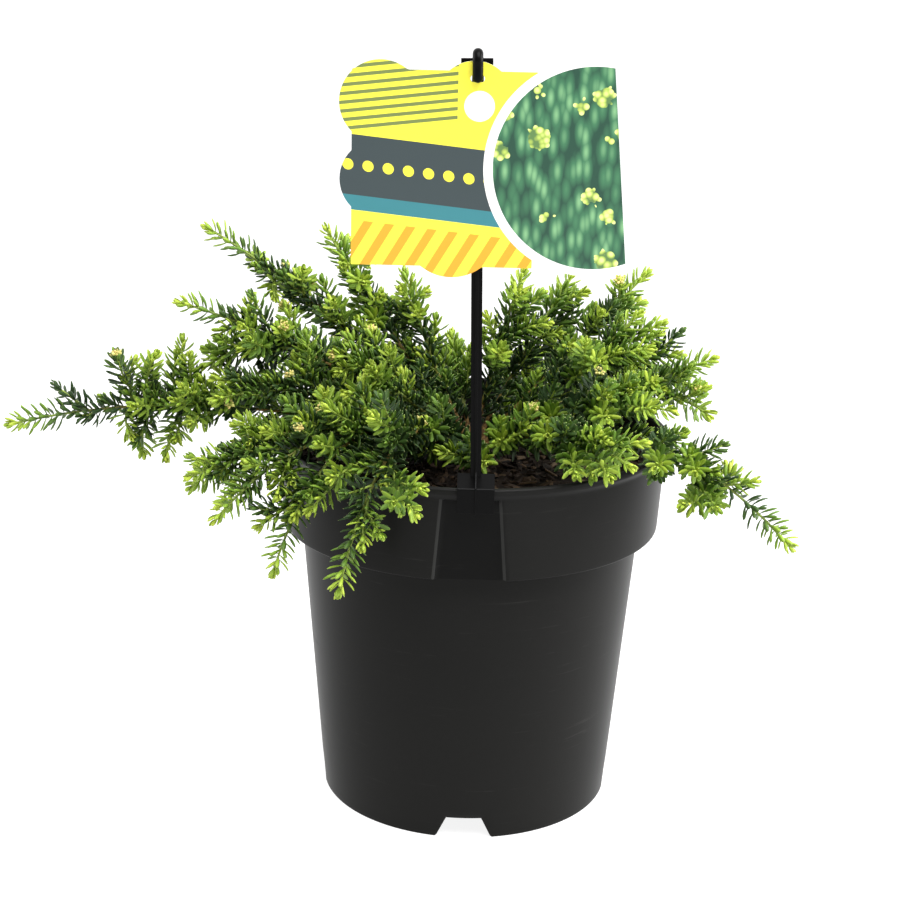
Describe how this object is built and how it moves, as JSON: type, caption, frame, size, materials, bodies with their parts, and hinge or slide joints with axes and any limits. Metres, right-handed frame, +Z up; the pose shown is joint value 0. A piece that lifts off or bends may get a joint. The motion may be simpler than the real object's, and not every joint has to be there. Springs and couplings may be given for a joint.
{
  "type": "potted shrub",
  "caption": "Young spreading needle-leaved shrub in a tapered round nursery pot with a banded rim, and a shaped card tag hung on a clip-on stick.",
  "frame": {"origin": "bottom centre of the whole outline, at the height of the pot's foot", "axes": "+Z up along the pot's axis, -Y towards the front where the tag hangs, +X to the right as seen from the front"},
  "size_m": [0.349, 0.2206, 0.3525],
  "materials": {
    "pot_plastic": "matte moulded dark grey plastic",
    "potting_mix": "coarse dark bark-based potting mix",
    "bark": "thin tan bark",
    "foliage": "soft satin green leaves",
    "stick_plastic": "satin black moulded plastic",
    "tag_card": "smooth printed synthetic card"
  },
  "bodies": {
    "root": {"pot": "pot_plastic", "soil": "potting_mix", "crown": "bark", "stick": "stick_plastic", "tag": "tag_card", "spray_runner_left": "foliage", "spray_upper_left": "foliage", "spray_mid_left": "foliage", "spray_left_shoulder": "foliage", "spray_left_middle": "foliage", "spray_low_left": "foliage", "spray_left_over_rim": "foliage", "spray_droop_left": "foliage", "spray_front_bud": "foliage", "spray_droop_front": "foliage", "spray_front_upright": "foliage", "spray_left_inner": "foliage", "spray_top_left": "foliage", "spray_top_middle": "foliage", "spray_behind_stake": "foliage", "spray_right_upright": "foliage", "spray_right_top": "foliage", "spray_right_long": "foliage", "spray_right_side": "foliage", "spray_right_arm": "foliage", "spray_runner_right": "foliage", "spray_front_right": "foliage", "spray_right_cushion": "foliage", "spray_front_short": "foliage", "spray_front_star": "foliage", "spray_back_left": "foliage", "spray_back_middle": "foliage", "spray_back_right": "foliage", "spray_right_back": "foliage"}
  },
  "joints": []
}
